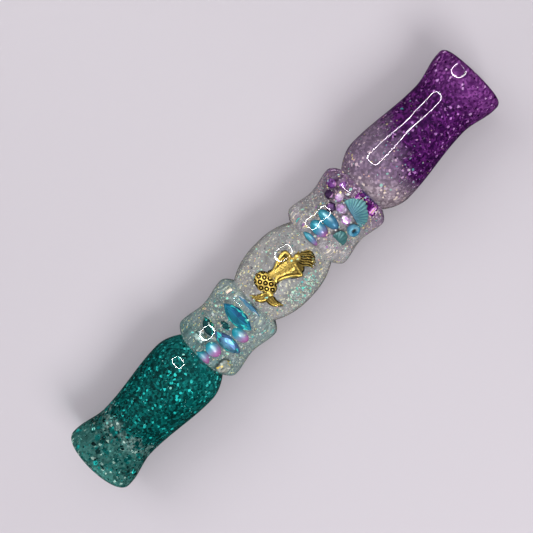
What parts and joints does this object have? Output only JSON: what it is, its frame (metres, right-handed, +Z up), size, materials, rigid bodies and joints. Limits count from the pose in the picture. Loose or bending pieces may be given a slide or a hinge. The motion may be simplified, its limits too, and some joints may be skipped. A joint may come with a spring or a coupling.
{
  "type": "double-ended duck call",
  "caption": "Hand-turned cast-resin duck call blown from either end, with pull-out inserts, reeds on toneboards, O-ring seals and a charm set in its barrel.",
  "frame": {"origin": "on the ground under the middle of the call, which lies on its side", "axes": "+X along the call from the teal end to the purple end, +Z up through the charm"},
  "size_m": [0.2196, 0.032, 0.032],
  "materials": {
    "teal_glitter_resin": "polished clear resin over teal glitter",
    "purple_glitter_resin": "polished clear resin over purple glitter",
    "milky_glitter_resin": "polished milky resin with fine iridescent flakes",
    "teal_collar_resin": "polished hazy resin",
    "purple_collar_resin": "polished hazy resin",
    "antique_brass": "antiqued, dark in its recesses",
    "teal_gem": "faceted acrylic",
    "deep_teal_gem": "faceted acrylic",
    "violet_gem": "faceted acrylic",
    "clear_gem": "faceted acrylic",
    "plum_gem": "faceted acrylic",
    "amethyst_gem": "faceted acrylic",
    "rose_gem": "faceted acrylic",
    "gradient_pearl": "pearl lacquer fading from blue to pink",
    "aqua_bead": "glassy",
    "sea_shell": "ribbed and pearly",
    "black_acetal": "machined",
    "reed_film": "clear polyester film",
    "cork": "cut cork",
    "o_ring_rubber": "greased"
  },
  "bodies": {
    "barrel": {"barrel_bulb": "milky_glitter_resin", "teal_collar": "teal_collar_resin", "purple_collar": "purple_collar_resin", "mermaid_charm": "antique_brass", "teal_marquise": "teal_gem", "sky_marquise": "violet_gem", "violet_marquise": "violet_gem", "dusk_pearl_long": "gradient_pearl", "dusk_pearl_round": "gradient_pearl", "dusk_pearl_end": "gradient_pearl", "deep_teal_marquise": "deep_teal_gem", "deep_teal_chip": "deep_teal_gem", "clear_crystal": "clear_gem", "aqua_crystal": "clear_gem", "lagoon_pearl_end": "gradient_pearl", "lagoon_pearl_long": "gradient_pearl", "lagoon_bead_long": "aqua_bead", "lagoon_bead_ring": "aqua_bead", "green_scale": "sea_shell", "scallop_shell": "sea_shell", "plum_gem_outer": "plum_gem", "plum_gem_inner": "plum_gem", "violet_oval": "amethyst_gem", "violet_drop": "amethyst_gem", "rose_crystal_outer": "rose_gem", "rose_crystal_middle": "rose_gem", "rose_crystal_inner": "rose_gem"},
    "teal_seals": {"teal_o_ring_outer": "o_ring_rubber", "teal_o_ring_inner": "o_ring_rubber"},
    "teal_end": {"teal_insert": "teal_glitter_resin", "teal_toneboard": "black_acetal", "teal_cork_wedge": "cork"},
    "teal_lower_reed": {"teal_reed_lower": "reed_film"},
    "teal_upper_reed": {"teal_reed_upper": "reed_film"},
    "purple_seals": {"purple_o_ring_outer": "o_ring_rubber", "purple_o_ring_inner": "o_ring_rubber"},
    "purple_end": {"purple_insert": "purple_glitter_resin", "purple_toneboard": "black_acetal", "purple_cork_wedge": "cork"},
    "purple_lower_reed": {"purple_reed_lower": "reed_film"},
    "purple_upper_reed": {"purple_reed_upper": "reed_film"}
  },
  "joints": [
    {"name": "teal_pull_out", "type": "slide", "parent": "barrel", "child": "teal_seals", "axis": [-1, 0, 0], "range_m": [0, 0.05]},
    {"name": "teal_twist", "type": "hinge", "parent": "teal_seals", "child": "teal_end", "pos_m": [-0.0468, 0, 0.016], "axis": [-1, 0, 0], "continuous": true},
    {"name": "teal_reed_beat", "type": "hinge", "parent": "teal_end", "child": "teal_lower_reed", "pos_m": [-0.0324, 0, 0.0169], "axis": [0, 1, 0], "range_deg": [0, 1.5], "stiffness_Nm_per_rad": 0.02},
    {"name": "teal_upper_reed_beat", "type": "hinge", "parent": "teal_end", "child": "teal_upper_reed", "pos_m": [-0.0324, 0, 0.0173], "axis": [0, 1, 0], "range_deg": [0, 1.5], "stiffness_Nm_per_rad": 0.02},
    {"name": "purple_pull_out", "type": "slide", "parent": "barrel", "child": "purple_seals", "axis": [1, 0, 0], "range_m": [0, 0.05]},
    {"name": "purple_twist", "type": "hinge", "parent": "purple_seals", "child": "purple_end", "pos_m": [0.0468, 0, 0.016], "axis": [1, 0, 0], "continuous": true},
    {"name": "purple_reed_beat", "type": "hinge", "parent": "purple_end", "child": "purple_lower_reed", "pos_m": [0.0324, 0, 0.0169], "axis": [0, -1, 0], "range_deg": [0, 1.5], "stiffness_Nm_per_rad": 0.02},
    {"name": "purple_upper_reed_beat", "type": "hinge", "parent": "purple_end", "child": "purple_upper_reed", "pos_m": [0.0324, 0, 0.0173], "axis": [0, -1, 0], "range_deg": [0, 1.5], "stiffness_Nm_per_rad": 0.02}
  ],
  "couplings": [
    {"joint": "teal_upper_reed_beat", "follows": "teal_reed_beat", "ratio": 1},
    {"joint": "purple_upper_reed_beat", "follows": "purple_reed_beat", "ratio": 1}
  ]
}
